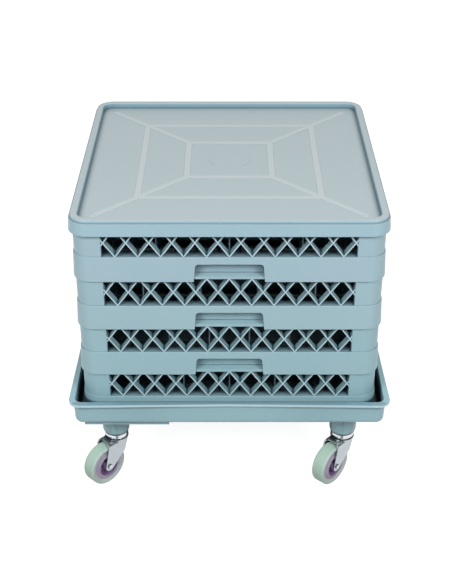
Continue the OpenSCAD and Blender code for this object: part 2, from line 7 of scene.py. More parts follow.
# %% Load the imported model
import json
import math

import bmesh
import bpy
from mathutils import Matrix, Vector


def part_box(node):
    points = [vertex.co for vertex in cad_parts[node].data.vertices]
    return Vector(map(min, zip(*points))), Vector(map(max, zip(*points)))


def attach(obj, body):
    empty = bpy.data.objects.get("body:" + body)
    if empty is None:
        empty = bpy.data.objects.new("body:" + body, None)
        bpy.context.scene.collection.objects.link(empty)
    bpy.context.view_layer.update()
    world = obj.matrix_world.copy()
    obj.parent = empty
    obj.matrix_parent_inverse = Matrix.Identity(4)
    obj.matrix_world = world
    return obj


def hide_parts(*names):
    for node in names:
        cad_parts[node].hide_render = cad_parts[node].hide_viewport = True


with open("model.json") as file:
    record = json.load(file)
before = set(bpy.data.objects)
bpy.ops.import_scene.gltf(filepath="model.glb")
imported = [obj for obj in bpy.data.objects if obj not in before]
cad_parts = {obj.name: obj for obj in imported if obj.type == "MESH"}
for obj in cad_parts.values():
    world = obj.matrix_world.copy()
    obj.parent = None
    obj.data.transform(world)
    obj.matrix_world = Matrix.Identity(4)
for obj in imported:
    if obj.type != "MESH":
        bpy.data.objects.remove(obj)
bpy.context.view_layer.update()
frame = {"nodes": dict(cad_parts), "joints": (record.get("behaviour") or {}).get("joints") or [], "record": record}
nodes = frame["nodes"]
MM = 0.001

# %% [markdown]
# The camera comes first, because everything else is judged through it.
# A product photo of a box gives its own camera away: the edges of the box meet at vanishing points, and
# those fix the focal length, the tilt and the distance. The values below were found that way.
# Blender takes the long side of the picture as the sensor, so the focal length in pixels is scaled by
# that side.

# %% Camera at the photo's viewpoint
PHOTO_W, PHOTO_H = 452, 584
FOCAL_PX = 1126.0
CENTRE_PX = (229.4, 302.9)
CAMERA_MM = (0, -1789.7, 1327.5)
TILT_DOWN_DEG = 31.42
SENSOR_MM = 36

camera_data = bpy.data.cameras.new("camera")
camera_data.sensor_width = SENSOR_MM
camera_data.lens = FOCAL_PX * SENSOR_MM / PHOTO_H
camera_data.shift_x = (PHOTO_W / 2 - CENTRE_PX[0]) / PHOTO_H
camera_data.shift_y = (CENTRE_PX[1] - PHOTO_H / 2) / PHOTO_H
camera = bpy.data.objects.new("camera", camera_data)
camera.location = Vector(CAMERA_MM) * MM
camera.rotation_euler = (math.radians(90 - TILT_DOWN_DEG), 0, 0)
bpy.context.scene.collection.objects.link(camera)
bpy.context.scene.camera = camera
print("lens in mm:", round(camera_data.lens, 2))

# %% [markdown]
# A material is a small graph of nodes. One helper adds a node, sets its values and links its inputs, so a
# finish reads as a list of what it is made of. Colours are written as the hex values seen on screen, and
# one function turns them into the linear values that the shader works in.
# A stain, or a painted light or shade, is a colour laid over part of a surface. Where it lies is a share
# from zero to one at each point, and the product of several shares is the part where all of them hold.

# %% Helpers for materials
def linear(hex_colour):
    """Screen colour such as "#A2BFC8" as linear red, green, blue and alpha, by the sRGB curve."""
    channels = [int(hex_colour[i:i + 2], 16) / 255 for i in (1, 3, 5)]
    return [c / 12.92 if c <= 0.04045 else ((c + 0.055) / 1.055) ** 2.4 for c in channels] + [1.0]


def add(tree, kind, links=None, **settings):
    """New shader node of a kind, its inputs set or linked by name or number, and its settings by name."""
    node = tree.nodes.new("ShaderNode" + kind)
    for name, value in settings.items():
        setattr(node, name, value)
    for name, value in (links or {}).items():
        if isinstance(value, bpy.types.NodeSocket):
            tree.links.new(value, node.inputs[name])
        else:
            node.inputs[name].default_value = value
    return node


def new_material(name):
    """Empty material and its node tree."""
    material = bpy.data.materials.new(name)
    material.use_nodes = True
    material.node_tree.nodes.clear()
    return material, material.node_tree


def stained_or_shaded(tree, base, colour, *shares, blend_type="MIX"):
    """Base colour mixed towards a hex colour where all the shares hold."""
    share = shares[0]
    for other in shares[1:]:
        share = add(tree, "Math", {0: share, 1: other}, operation="MULTIPLY").outputs[0]
    stain_or_shade = {"Factor": share, "A": base, "B": linear(colour)}
    return add(tree, "Mix", stain_or_shade, data_type="RGBA", blend_type=blend_type).outputs["Result"]


print("middle grey in linear:", round(linear("#808080")[0], 3))

# %% [markdown]
# Every finish of this object is built alike: two tones that drift in patches, stains and painted light and
# shade over them, and a fine grain that the gloss and the relief follow. Only sizes and colours differ, so
# one function builds them all. A noise texture repeats about once per metre at a scale of one, so one over
# a size in metres is its scale.

# %% One build for every finish
def surface(name, tones, patches, grain, gloss, relief, stains_and_shades, **body):
    """Material of two tones in patches under some stains and painted light and shade, with gloss and relief that
    follow a fine grain.

    Patches and grain are a size in mm and a level of detail, gloss is the lowest and the highest
    roughness, and relief a depth in mm and a strength. A stain or painted light or shade is a function of
    the tree, the place and the colour below it. The body holds what the shader takes as it is.
    """
    material, tree = new_material(name)
    place = add(tree, "TexCoord").outputs["Object"]
    patterns = []
    for size_mm, detail in (patches, grain):
        noise = {"Vector": place, "Scale": 1 / (size_mm * MM), "Detail": detail}
        patterns.append(add(tree, "TexNoise", noise).outputs["Fac"])
    patch, speck = patterns
    tone = {"Factor": patch, "A": linear(tones[0]), "B": linear(tones[1])}
    base = add(tree, "Mix", tone, data_type="RGBA").outputs["Result"]
    for stain_or_shade in stains_and_shades:
        base = stain_or_shade(tree, place, base)
    rough = add(tree, "MapRange", {"Value": speck, "To Min": gloss[0], "To Max": gloss[1]})
    bump = add(tree, "Bump", {"Height": speck, "Distance": relief[0] * MM, "Strength": relief[1]})
    look = {"Base Color": base, "Roughness": rough.outputs["Result"], "Normal": bump.outputs["Normal"]}
    shader = add(tree, "BsdfPrincipled", {**look, **body})
    add(tree, "OutputMaterial", {"Surface": shader.outputs["BSDF"]})
    return material


PATCH_DETAIL, GRAIN_DETAIL = 3, 2
print("levels of detail:", PATCH_DETAIL, GRAIN_DETAIL)

# %% [markdown]
# A stain has to know where it is. The stack is square, so the larger of the distances from its two
# upright middle planes is the same all round. The normal tells level faces from upright ones.
# An occlusion node looks around each point and gives the share of directions that are open. It sees the
# other pieces too, unless it is told to keep to its own, so a shade found that way goes when a rack is
# lifted off.

# %% Where on a surface
OCCLUSION_SAMPLES = 8
FADING = {"To Min": 1.0, "To Max": 0.0}  # for a share that falls from one to none


def from_middle(tree, place):
    """Distances from the two upright middle planes, the height, and the larger of the two distances."""
    axis = add(tree, "SeparateXYZ", {"Vector": place}).outputs
    x, y = (add(tree, "Math", {0: axis[c]}, operation="ABSOLUTE").outputs[0] for c in "XY")
    far = add(tree, "Math", {0: x, 1: y}, operation="MAXIMUM").outputs[0]
    return x, y, axis["Z"], far


def upward(tree):
    """How far the surface looks up: one on level tops, none on upright walls."""
    normal = add(tree, "TexCoord").outputs["Normal"]
    return add(tree, "SeparateXYZ", {"Vector": normal}).outputs["Z"]


def closed_in(tree, reach_mm, closed, clear, own_piece=False):
    """Share that is closed in within a reach: one up to the first openness, none from the second on."""
    around = add(tree, "AmbientOcclusion", {"Distance": reach_mm * MM},
                 samples=OCCLUSION_SAMPLES, only_local=own_piece)
    openness = {"Value": around.outputs["AO"], "From Min": closed, "From Max": clear}
    return add(tree, "MapRange", {**openness, **FADING}).outputs["Result"]


print("occlusion samples:", OCCLUSION_SAMPLES)

# %% [markdown]
# The racks, the lid and the tray are injection moulded polypropylene. It is a little waxy: light scatters
# in its skin, so it has soft shading and a broad, weak highlight. The mould is spark eroded, which leaves
# a fine even grain, and the melt leaves slow clouds of slightly different tint where it flowed. A painted
# shade darkens every inside edge into a dark line, and whole recesses a little. Occlusion within the piece
# finds both: one look reaches a few millimetres, the other a few centimetres. The grain of the real mould
# is about 0.3 mm, too fine for this picture, so it is drawn coarser.

# %% Moulded polypropylene
PP_IOR = 1.49
CLOUD_MM, MOULD_GRAIN_MM = 90, 1.6
MOULD_RELIEF = (0.03, 0.5)  # depth in mm and strength
MOULD_GLOSS_SPREAD = 0.05
# Painted crease shade: the openness at which it is full and at which there is none, and for each reach the colour
# it multiplies by.
CREASE_SHADE_OPENNESS = (0.3, 0.85)  # at which the film is full and at which there is none
CREASE_SHADES = ((5, "#74929C"), (28, "#8FA8B0"))  # reach in mm, and the colour that the film multiplies by


def painted_crease_shade(tree, place, base):
    """Painted shade in the piece's own inside edges and, weaker, in its recesses."""
    for reach_mm, colour in CREASE_SHADES:
        share = closed_in(tree, reach_mm, *CREASE_SHADE_OPENNESS, own_piece=True)
        base = stained_or_shaded(tree, base, colour, share, blend_type="MULTIPLY")
    return base


def moulded_plastic(name, tones, roughness, stain_or_shade):
    """Injection moulded polypropylene with a stain or painted light or shade of its own under the painted crease
    shade.
    """
    gloss = (roughness - MOULD_GLOSS_SPREAD, roughness + MOULD_GLOSS_SPREAD)
    clouds, grain = (CLOUD_MM, PATCH_DETAIL), (MOULD_GRAIN_MM, GRAIN_DETAIL)
    return surface(name, tones, clouds, grain, gloss, MOULD_RELIEF, (stain_or_shade, painted_crease_shade), IOR=PP_IOR)


# Prints the reaches of the painted crease shade.
print("film reaches in mm:", [reach_mm for reach_mm, _ in CREASE_SHADES])

# %% [markdown]
# Each rack's tones are a little darker than those of the rack above it: a painted shade for the light that
# falls off down the stack. The front edges of the lattice get a painted highlight. They lie in the upper
# wall's plane, so distance finds them. A painted shade darkens the sills behind the lattice, most at their
# back. A sill is level, and its height above the rack's foot, which repeats up the stack, tells it from
# other ledges. The foot of the lowest rack gets a painted shade where it stands between the rack and the
# tray's rim, as long as the tray stands close.

# %% Plastic of the racks
# Each rack's tones are painted a little darker than the rack's above it: painted shade down the stack.
RACK_TONES_DARKER_DOWN = {
    1: ("#9DBAC5", "#A3BEC8"),
    2: ("#9BBAC4", "#A1BEC7"),
    3: ("#96B9C2", "#9CBCC5"),
    4: ("#91B7C0", "#97BAC3"),
}
RACK_ROUGHNESS = 0.42
# Painted highlight on the lattice's front edges, painted shade on the sills and on the foot of the lowest rack.
FRONT_HIGHLIGHT, SILL_SHADE, FOOT_SHADE = "#B7D1D9", "#5C747E", "#36525C"
LEVEL = {"From Min": 0.8, "From Max": 0.98}  # how far up a face looks when it starts to be level, and is
# Depths behind the wall's plane at which the painted highlight on the lattice's front starts and is full.
FRONT_DEPTH_MM = (0.5, 0.1)  # from where the rubbing starts to where it is full, behind the wall's plane
# Depth of the sills' painted shade behind the wall's plane, and the share of it left at their front.
SILL_DEPTH_MM, SHADE_AT_FRONT = 10.8, 0.5
BELOW_SILL_MM = 20  # a ledge this low above the rack's foot is no sill
# Where the painted shade on the lowest rack's foot is full and where it ends, and the openness at which it is dark
# and clear.
FOOT_DEPTH_MM = (11, 6)  # from where the shade is full to where it ends, below the tray's top
FOOT = (30, 0.5, 0.95)  # reach in mm, and the openness at which the foot is dark and is clear
WALL_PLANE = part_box("rack_4_lattice")[1].x
RACK_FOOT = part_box("rack_4_sides")[0].z
RACK_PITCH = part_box("rack_3_sides")[0].z - RACK_FOOT
WELL_FOOT, TRAY_TOP = (corner.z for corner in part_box("tray"))


def painted_front_highlight(tree, place, base):
    """Painted highlight: paler on faces that lie in the plane of the upper wall."""
    far = from_middle(tree, place)[3]
    start, full = (WALL_PLANE - depth_mm * MM for depth_mm in FRONT_DEPTH_MM)
    share = add(tree, "MapRange", {"Value": far, "From Min": start, "From Max": full}).outputs["Result"]
    return stained_or_shaded(tree, base, FRONT_HIGHLIGHT, share)


def painted_sill_and_foot_shade(tree, place, base):
    """Painted shade: darker on the sills behind the lattice, most at their back, and on the foot inside the tray.
    """
    _, _, z, far = from_middle(tree, place)
    level = add(tree, "MapRange", {"Value": upward(tree), **LEVEL}).outputs["Result"]
    sill_back = WALL_PLANE - SILL_DEPTH_MM * MM
    behind = add(tree, "MapRange", {"Value": far, "From Min": sill_back, "From Max": WALL_PLANE,
                                    "To Min": 1.0, "To Max": SHADE_AT_FRONT}).outputs["Result"]
    above_foot = add(tree, "Math", {0: z, 1: RACK_FOOT}, operation="SUBTRACT").outputs[0]
    in_rack = add(tree, "Math", {0: above_foot, 1: RACK_PITCH}, operation="FLOORED_MODULO").outputs[0]
    sill = add(tree, "Math", {0: in_rack, 1: BELOW_SILL_MM * MM}, operation="GREATER_THAN").outputs[0]
    base = stained_or_shaded(tree, base, SILL_SHADE, level, behind, sill)
    full, end = (TRAY_TOP - depth_mm * MM for depth_mm in FOOT_DEPTH_MM)
    low = add(tree, "MapRange", {"Value": z, "From Min": full, "From Max": end, **FADING}).outputs["Result"]
    return stained_or_shaded(tree, base, FOOT_SHADE, low, closed_in(tree, *FOOT))


rack_plastics, lattice_plastics = (
    {i: moulded_plastic(f"polypropylene_moulded_{part}_{i}", tones, RACK_ROUGHNESS, stain_or_shade)
     for i, tones in RACK_TONES_DARKER_DOWN.items()}
    for part, stain_or_shade in (("rack", painted_sill_and_foot_shade), ("lattice", painted_front_highlight))
)
print("racks:", len(rack_plastics), "pitch in mm:", round(RACK_PITCH / MM, 1))

# %% [markdown]
# The tray's lip and the turned edges of its rim get a painted highlight. The top of the rim gets a painted
# shade at the front and back. Inside, the channel between rim and racks gets a painted shade as long as a
# rack stands there. The feet of the four wells get a painted shade where they meet the cups.
# The dot product of a point's place and its normal tells which way a face looks: it is large on the outer
# faces, about nothing on level ones and negative on those that look towards the middle.

# %% Plastic of the tray
TRAY_TONES, TRAY_ROUGHNESS = ("#93B8C1", "#99BCC5"), 0.34
# Painted highlight on the rim's edges and lip, and painted shade on the rim's top, in the channel and at the
# wells' feet.
RIM_HIGHLIGHT, RIM_TOP_SHADE, CHANNEL_SHADE, WELL_FOOT_SHADE = "#BAD7DF", "#799CA9", "#2C3B40", "#34494F"
TURNED = {"From Min": 0.08, "From Max": 0.2}  # upward part times what it lacks to one: most on turned edges
RIM_DEPTH_MM, LIP_DEPTH_MM = 12, 5.7  # how far down the rim and its lip reach from the tray's top
CHANNEL_DEPTH_MM = (20, 4)  # from where the shade is full to where it ends, below the tray's top
CHANNEL = (30, 0.25, 0.7)  # reach in mm, and the openness at which the channel is dark and is clear
TRAY_FLOOR = RACK_FOOT - 1.5 * MM  # a little lower than the racks stand, so the floor counts as inside
OUTER_FACE, INNER_FACE = 0.1, 0.001  # least product of an outer face, and most of a level or inner one
# Heights above the wells' feet at which their painted shade is full and where it ends.
WELL_SHADE_RISE_MM = (3, 4)  # from where the grease is full to where it ends, above the wells' feet


def tray_light_and_shade(tree, place, base):
    """Painted highlight on the lip and edges, and painted shade on the rim's top, in the channel and at the wells'
    feet.
    """
    x, y, z, _ = from_middle(tree, place)
    front = add(tree, "Math", {0: y, 1: x}, operation="GREATER_THAN").outputs[0]
    rim, lip, inside = (
        add(tree, "Math", {0: z, 1: height}, operation="GREATER_THAN").outputs[0]
        for height in (TRAY_TOP - RIM_DEPTH_MM * MM, TRAY_TOP - LIP_DEPTH_MM * MM, TRAY_FLOOR)
    )
    aside = add(tree, "VectorMath", {0: place, 1: (1, 1, 0)}, operation="MULTIPLY").outputs[0]
    normal = add(tree, "TexCoord").outputs["Normal"]
    outward = add(tree, "VectorMath", {0: aside, 1: normal}, operation="DOT_PRODUCT").outputs["Value"]
    outer = add(tree, "Math", {0: outward, 1: OUTER_FACE}, operation="GREATER_THAN").outputs[0]
    inner = add(tree, "Math", {0: outward, 1: INNER_FACE}, operation="LESS_THAN").outputs[0]
    up = upward(tree)
    lack = add(tree, "Math", {0: 1.0, 1: up}, operation="SUBTRACT").outputs[0]
    halfway = add(tree, "Math", {0: up, 1: lack}, operation="MULTIPLY").outputs[0]
    edge = add(tree, "MapRange", {"Value": halfway, **TURNED}).outputs["Result"]
    level = add(tree, "MapRange", {"Value": up, **LEVEL}).outputs["Result"]
    full, end = (TRAY_TOP - depth_mm * MM for depth_mm in CHANNEL_DEPTH_MM)
    deep = add(tree, "MapRange", {"Value": z, "From Min": full, "From Max": end, **FADING},
               interpolation_type="SMOOTHSTEP").outputs["Result"]
    full, end = (WELL_FOOT + rise_mm * MM for rise_mm in WELL_SHADE_RISE_MM)
    at_well_foot = add(tree, "MapRange", {"Value": z, "From Min": full, "From Max": end, **FADING})
    base = stained_or_shaded(tree, base, RIM_HIGHLIGHT, edge, rim)
    base = stained_or_shaded(tree, base, RIM_HIGHLIGHT, lip, outer)
    base = stained_or_shaded(tree, base, RIM_TOP_SHADE, level, front, rim)
    base = stained_or_shaded(tree, base, CHANNEL_SHADE, inner, deep, inside, closed_in(tree, *CHANNEL))
    return stained_or_shaded(tree, base, WELL_FOOT_SHADE, at_well_foot.outputs["Result"])


tray_plastic = moulded_plastic("polypropylene_moulded_tray", TRAY_TONES, TRAY_ROUGHNESS, tray_light_and_shade)
print("tray plastic:", tray_plastic.name, "top in mm:", round(TRAY_TOP / MM, 1))

# %% [markdown]
# Dividers and rack floors lie deep in the stack. Little light comes there through the lattice, and the
# many walls swallow most of it. So their plastic is a darker tone than the racks', as painted shade, and
# a painted shade darkens it further where racks and lid close them in.

# %% Plastic of the dividers
# The dividers' tones are darker than the racks' as painted shade, and the stack shade is painted shade too.
SHADED_DIVIDER_TONES, DIVIDER_ROUGHNESS = ("#7F9BA5", "#86A1AA"), 0.5
STACK_SHADE = "#465961"
STACK = (120, 0.2, 0.6)  # reach in mm, and the openness at which the deep of the stack is dark and is clear


def deep_shade(tree, place, base):
    """Darker in the deep of the stack."""
    return stained_or_shaded(tree, base, STACK_SHADE, closed_in(tree, *STACK))


divider_plastic = moulded_plastic("polypropylene_moulded_divider", SHADED_DIVIDER_TONES, DIVIDER_ROUGHNESS,
                                  deep_shade)
print("divider plastic:", divider_plastic.name)

# %% [markdown]
# The lid's upper faces carry a painted sheen, so they are paler and greyer than its sides. The normal
# tells which faces those are. The panel's ribs show as slightly paler bands, worked out from the place on
# the panel with the sizes of the solids: two squares, and diagonals from the inner one outwards.

# %% Plastic of the lid
LID_TONES, LID_ROUGHNESS = ("#9ABAC6", "#A0BEC9"), 0.36
# Painted sheen on the lid's upper faces, with how far up a face looks when the sheen starts and is full.
TOP_SHEEN, PALE_RIB = "#ABBABE", "#B9C4C6"
UPPER = {"From Min": 0.6, "From Max": 0.9}  # how far up a face looks when the rubbing starts and is full
RIB_W_MM, RIB_EDGE_MM = 11, 1.5
RIB_INNER_MM, RIB_OUTER_MM, RIB_REACH_MM = 71.5, 149, 212


def ribbed_top(tree, place, base):
    """Paler on upper faces by a painted sheen, and more so where a rib thickens the panel."""
    x, y, _, far = from_middle(tree, place)
    slant = add(tree, "Math", {0: x, 1: y}, operation="SUBTRACT").outputs[0]
    slant = add(tree, "Math", {0: slant}, operation="ABSOLUTE").outputs[0]
    nearest = add(tree, "Math", {0: slant, 1: math.sqrt(0.5)}, operation="MULTIPLY").outputs[0]
    for more, less in ((RIB_INNER_MM * MM, far), (far, RIB_REACH_MM * MM)):
        past_end = add(tree, "Math", {0: more, 1: less}, operation="SUBTRACT").outputs[0]
        nearest = add(tree, "Math", {0: nearest, 1: past_end}, operation="MAXIMUM").outputs[0]
    for half_mm in (RIB_INNER_MM, RIB_OUTER_MM):
        off = add(tree, "Math", {0: far, 1: half_mm * MM}, operation="SUBTRACT").outputs[0]
        off = add(tree, "Math", {0: off}, operation="ABSOLUTE").outputs[0]
        nearest = add(tree, "Math", {0: nearest, 1: off}, operation="MINIMUM").outputs[0]
    full, end = ((RIB_W_MM / 2 + side * RIB_EDGE_MM) * MM for side in (-1, 1))
    rib = add(tree, "MapRange", {"Value": nearest, "From Min": full, "From Max": end, **FADING},
              interpolation_type="SMOOTHSTEP").outputs["Result"]
    upper = add(tree, "MapRange", {"Value": upward(tree), **UPPER}).outputs["Result"]
    base = stained_or_shaded(tree, base, TOP_SHEEN, upper)
    return stained_or_shaded(tree, base, PALE_RIB, rib)


lid_plastic = moulded_plastic("polypropylene_moulded_lid", LID_TONES, LID_ROUGHNESS, ribbed_top)
print("lid plastic:", lid_plastic.name)

# %% [markdown]
# The casters' race cups are pressed steel with bright chrome plating: a mirror with the faint ripple of
# the pressing. The forks have the same plating on rougher sheet, which makes it satin. Bolts, nuts, stems
# and sleeves are zinc plated, which is greyer and duller, with a fine crystal mottle. A metal needs only
# its colour, its roughness and a metallic value of one. A painted shade darkens the joints, which an
# occlusion node finds by the neighbours that stand close.

# %% Plated steels
RIPPLE_MM, MOTTLE_MM = 14, 2.5
STEEL_GLOSS = (0.7, 1.3)  # lowest and highest roughness, as shares of the plating's own
STEEL_RELIEF = 0.4  # strength
# Painted shade in the joints: its colour, and the openness at which it is full and at which there is none.
JOINT_SHADE = "#3C4144"
JOINT_SHADE_OPENNESS = (0.45, 0.8)  # at which the grease is full and at which there is none


def plated_steel(name, tones, roughness, pattern_mm, depth_mm, joint_shade_mm):
    """Plated steel whose tint, gloss and relief follow one pattern, with a painted shade in its joints."""
    def shaded_joints(tree, place, base):
        """Painted shade where neighbours stand close."""
        return stained_or_shaded(tree, base, JOINT_SHADE, closed_in(tree, joint_shade_mm, *JOINT_SHADE_OPENNESS))

    pattern = (pattern_mm, GRAIN_DETAIL)
    gloss = [roughness * share for share in STEEL_GLOSS]
    relief = (depth_mm, STEEL_RELIEF)
    return surface(name, tones, pattern, pattern, gloss, relief, (shaded_joints,), Metallic=1.0)


chrome_steel = plated_steel("steel_pressed_chrome_plated", ("#D6DADD", "#C3C8CC"), roughness=0.08,
                            pattern_mm=RIPPLE_MM, depth_mm=0.1, joint_shade_mm=4)
satin_chrome = plated_steel("steel_pressed_chrome_satin", ("#B6BDC2", "#ABB2B7"), roughness=0.3,
                            pattern_mm=RIPPLE_MM, depth_mm=0.04, joint_shade_mm=4)
zinc_steel = plated_steel("steel_turned_zinc_plated", ("#D2D5D8", "#C0C4C7"), roughness=0.4,
                          pattern_mm=MOTTLE_MM, depth_mm=0.01, joint_shade_mm=1)
print("metals:", chrome_steel.name, satin_chrome.name, zinc_steel.name)

# %% [markdown]
# The wheel has a glossy nylon hub and a tread of soft thermoplastic rubber. Rubber is matt, with a bloom
# that makes it greyer in patches, and floor dust dulls its rolling face. The hub's rim is rubbed pale,
# and its dish stays purple. The wheels stand at four different angles, so this can't follow a world axis:
# each wheel's mesh will carry its distance from the axle, in millimetres, and the material reads that.

# %% Wheel plastics
NYLON_IOR, RUBBER_IOR = 1.53, 1.52
HUB_CLOUD_MM, BLOOM_MM, WHEEL_GRAIN_MM = 20, 12, 1.8
WHEEL_GLOSS_SPREAD = 0.06
WHEEL_RELIEF = 0.5  # strength
FROM_AXLE = "from_axle_mm"
RIM_START_MM, ROLLING_START_MM, START_BLUR_MM = 20.0, 36.4, 0.4


def wheel_plastic(name, tones, worn, worn_from_mm, roughness, patch_mm, depth_mm, ior):
    """Moulded wheel plastic with tint patches and a fine grain, worn to another colour from a radius on."""
    def worn_rim(tree, place, base):
        """Worn colour from the radius on."""
        radius = add(tree, "Attribute", attribute_name=FROM_AXLE).outputs["Fac"]
        start, full = (worn_from_mm + side * START_BLUR_MM for side in (-1, 1))
        share = add(tree, "MapRange", {"Value": radius, "From Min": start, "From Max": full},
                    interpolation_type="SMOOTHSTEP").outputs["Result"]
        return stained_or_shaded(tree, base, worn, share)

    gloss = (roughness - WHEEL_GLOSS_SPREAD, roughness + WHEEL_GLOSS_SPREAD)
    return surface(name, tones, (patch_mm, PATCH_DETAIL), (WHEEL_GRAIN_MM, GRAIN_DETAIL), gloss,
                   (depth_mm, WHEEL_RELIEF), (worn_rim,), IOR=ior)


hub_nylon = wheel_plastic("nylon_moulded_hub", ("#846893", "#8C749D"), worn="#A598B1",
                          worn_from_mm=RIM_START_MM, roughness=0.28, patch_mm=HUB_CLOUD_MM, depth_mm=0.01,
                          ior=NYLON_IOR)
tread_rubber = wheel_plastic("rubber_moulded_tread", ("#B6C3BF", "#BDCAC6"), worn="#AEC9BB",
                             worn_from_mm=ROLLING_START_MM, roughness=0.6, patch_mm=BLOOM_MM, depth_mm=0.03,
                             ior=RUBBER_IOR)
print("wheel plastics:", hub_nylon.name, tread_rubber.name)

# %% [markdown]
# Each node of the imported model gets its material by the record's own slot names, so nothing is left
# unpainted. A slot can hold more than one look: forks are duller than cups, each rack's tones are painted
# darker down the stack, and the rack floors take the dividers' darker plastic as painted shade.

# %% Materials on every node
FINISHES = {
    "tray_plastic": tray_plastic,
    "divider_plastic": divider_plastic,
    "lid_plastic": lid_plastic,
    "chrome_steel": chrome_steel,
    "zinc_steel": zinc_steel,
    "hub_plastic": hub_nylon,
    "tread_rubber": tread_rubber,
}
slot_of = {part["node"]: part["material_slot"] for part in frame["record"]["subparts"]}


def finish_of(node_name):
    """Material of a node: its slot's, but for the satin forks, the racks' tones painted darker down the stack, and
    their floors, which take the dividers' darker plastic as painted shade.
    """
    if node_name.endswith("fork"):
        return satin_chrome
    if slot_of[node_name] != "rack_plastic":
        return FINISHES[slot_of[node_name]]
    _, number, part = node_name.split("_")
    if part == "floor":
        return divider_plastic
    plastics = lattice_plastics if part == "lattice" else rack_plastics
    return plastics[int(number)]


for name, node in nodes.items():
    node.data.materials.clear()
    node.data.materials.append(finish_of(name))
print("painted:", len(nodes))

# %% [markdown]
# No moulded edge is sharp. A copy of each solid is merged, its flat faces are joined up, and its sharp
# edges get a small round bevel, which is what catches the light along the rims. The copy then stands for
# the solid. A real rack's walls are one moulding, while the solids hold its sides and corners apart, for
# the physics. Their copies are joined here: the faces where they meet are deleted and the open edges
# merged, so no seam shows. One polygon can't have a hole, so a ring such as a rim's top must never be
# joined up into one. Each copy is cut along its two upright middle planes first, and the cuts are marked
# as seams, which the joining up leaves alone. A rounding must also stay well under half the width of the
# narrowest ledge, or the ledge folds over itself. The area before and after tells of both mistakes:
# rounding can only take a little away, so a share above one means that a polygon was filled or folded.
# Large flat faces should stay flat in the shading, which a weighted normal modifier sees to.

# %% Softened edges
MERGE_MM = 0.01
FLAT_DEG, SHARP_DEG, SMOOTH_DEG = 1, 28, 40
ACROSS_SEAM = 0.999  # least part of a face's normal that points across a seam
ROUND_SEGMENTS = 2
bodies = frame["record"]["behaviour"]["bodies"]
body_of_node = {node_name: body for body, members in bodies.items() for node_name in members}


def on_seam(face, seam_mm):
    """True for a face that lies in one of the upright planes where sides and corners meet."""
    return any(
        abs(face.normal[axis]) > ACROSS_SEAM
        and all(abs(abs(v.co[axis]) - seam_mm * MM) < MERGE_MM * MM for v in face.verts)
        for axis in (0, 1)
    )


def placed(name, bm, node_names):
    """Object made of a finished mesh: it takes the material, body and place of the nodes it stands for."""
    open_edges = sum(not e.is_manifold for e in bm.edges)
    mesh = bpy.data.meshes.new(name)
    bm.to_mesh(mesh)
    bm.free()
    mesh.shade_smooth()
    mesh.set_sharp_from_angle(angle=math.radians(SMOOTH_DEG))
    mesh.materials.append(finish_of(node_names[0]))
    piece = bpy.data.objects.new(name, mesh)
    bpy.context.scene.collection.objects.link(piece)
    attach(piece, body_of_node[node_names[0]])
    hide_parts(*node_names)
    print(name, "faces:", len(mesh.polygons), "open edges:", open_edges)
    return piece


def cut_rings(bm):
    """Cuts the mesh along its two upright middle planes and marks the cuts as seams."""
    for axis in (0, 1):
        places = [v.co[axis] for v in bm.verts]
        middle, across = Vector(), Vector()
        middle[axis] = (min(places) + max(places)) / 2
        across[axis] = 1
        cut = bmesh.ops.bisect_plane(bm, geom=bm.verts[:] + bm.edges[:] + bm.faces[:], dist=MERGE_MM * MM,
                                     plane_co=middle, plane_no=across)
        for edge in cut["geom_cut"]:
            if isinstance(edge, bmesh.types.BMEdge):
                edge.seam = True


def softened(name, node_names, radius_mm, seam_mm=None):
    """Copy of some nodes of one body with rounded edges, in their place."""
    bm = bmesh.new()
    for node_name in node_names:
        bm.from_mesh(nodes[node_name].data)
    bmesh.ops.remove_doubles(bm, verts=bm.verts, dist=MERGE_MM * MM)
    if seam_mm:
        bmesh.ops.delete(bm, geom=[f for f in bm.faces if on_seam(f, seam_mm)], context="FACES")
    area_before = sum(f.calc_area() for f in bm.faces)
    cut_rings(bm)
    bmesh.ops.dissolve_limit(bm, angle_limit=math.radians(FLAT_DEG), verts=bm.verts, edges=bm.edges,
                             delimit={"SEAM"})
    sharp = [e for e in bm.edges if e.is_manifold and e.calc_face_angle() > math.radians(SHARP_DEG)]
    bmesh.ops.bevel(bm, geom=sharp, offset=radius_mm * MM, offset_type="OFFSET", affect="EDGES",
                    segments=ROUND_SEGMENTS, profile=0.5, material=-1, clamp_overlap=True)
    piece = placed(name, bm, node_names)
    piece.modifiers.new("flat_shading", "WEIGHTED_NORMAL").keep_sharp = True
    piece.data.calc_loop_triangles()
    area_after = sum(t.area for t in piece.data.loop_triangles)
    print("area share:", round(area_after / area_before, 3))
    return piece


print("bodies:", len(bodies))

# %% [markdown]
# The large mouldings come first. The tray has the roundest edges. The narrowest ledge of a rack is the
# strip of its sill before a corner post, 0.8 mm wide, which sets the rounding of its walls.

# %% Lid, tray and racks
LID_ROUND_MM, TRAY_ROUND_MM, WALLS_ROUND_MM, LATTICE_ROUND_MM = 0.5, 1.1, 0.33, 0.4
RACK_SEAM_MM = 219

softened("lid_soft", ["lid"], LID_ROUND_MM)
softened("tray_soft", ["tray"], TRAY_ROUND_MM)
for i in RACK_TONES_DARKER_DOWN:
    wall_nodes = [f"rack_{i}_sides", f"rack_{i}_corners"]
    softened(f"rack_{i}_walls", wall_nodes, WALLS_ROUND_MM, seam_mm=RACK_SEAM_MM)
    softened(f"rack_{i}_lattice_soft", [f"rack_{i}_lattice"], LATTICE_ROUND_MM)

# %% [markdown]
# A pressed cup isn't quite straight: its wall bulges a little, so its mirror image shows the floor in the
# middle and the dim room above. It is turned like a pot: half an outline, spun about the stem.

# %% Race cup
CUP_BULGE_MM, CUP_SHEET_MM, CUP_BORE_MM = 1.2, 1.6, 5.5
CUP_RINGS, CUP_STEPS = 10, 64


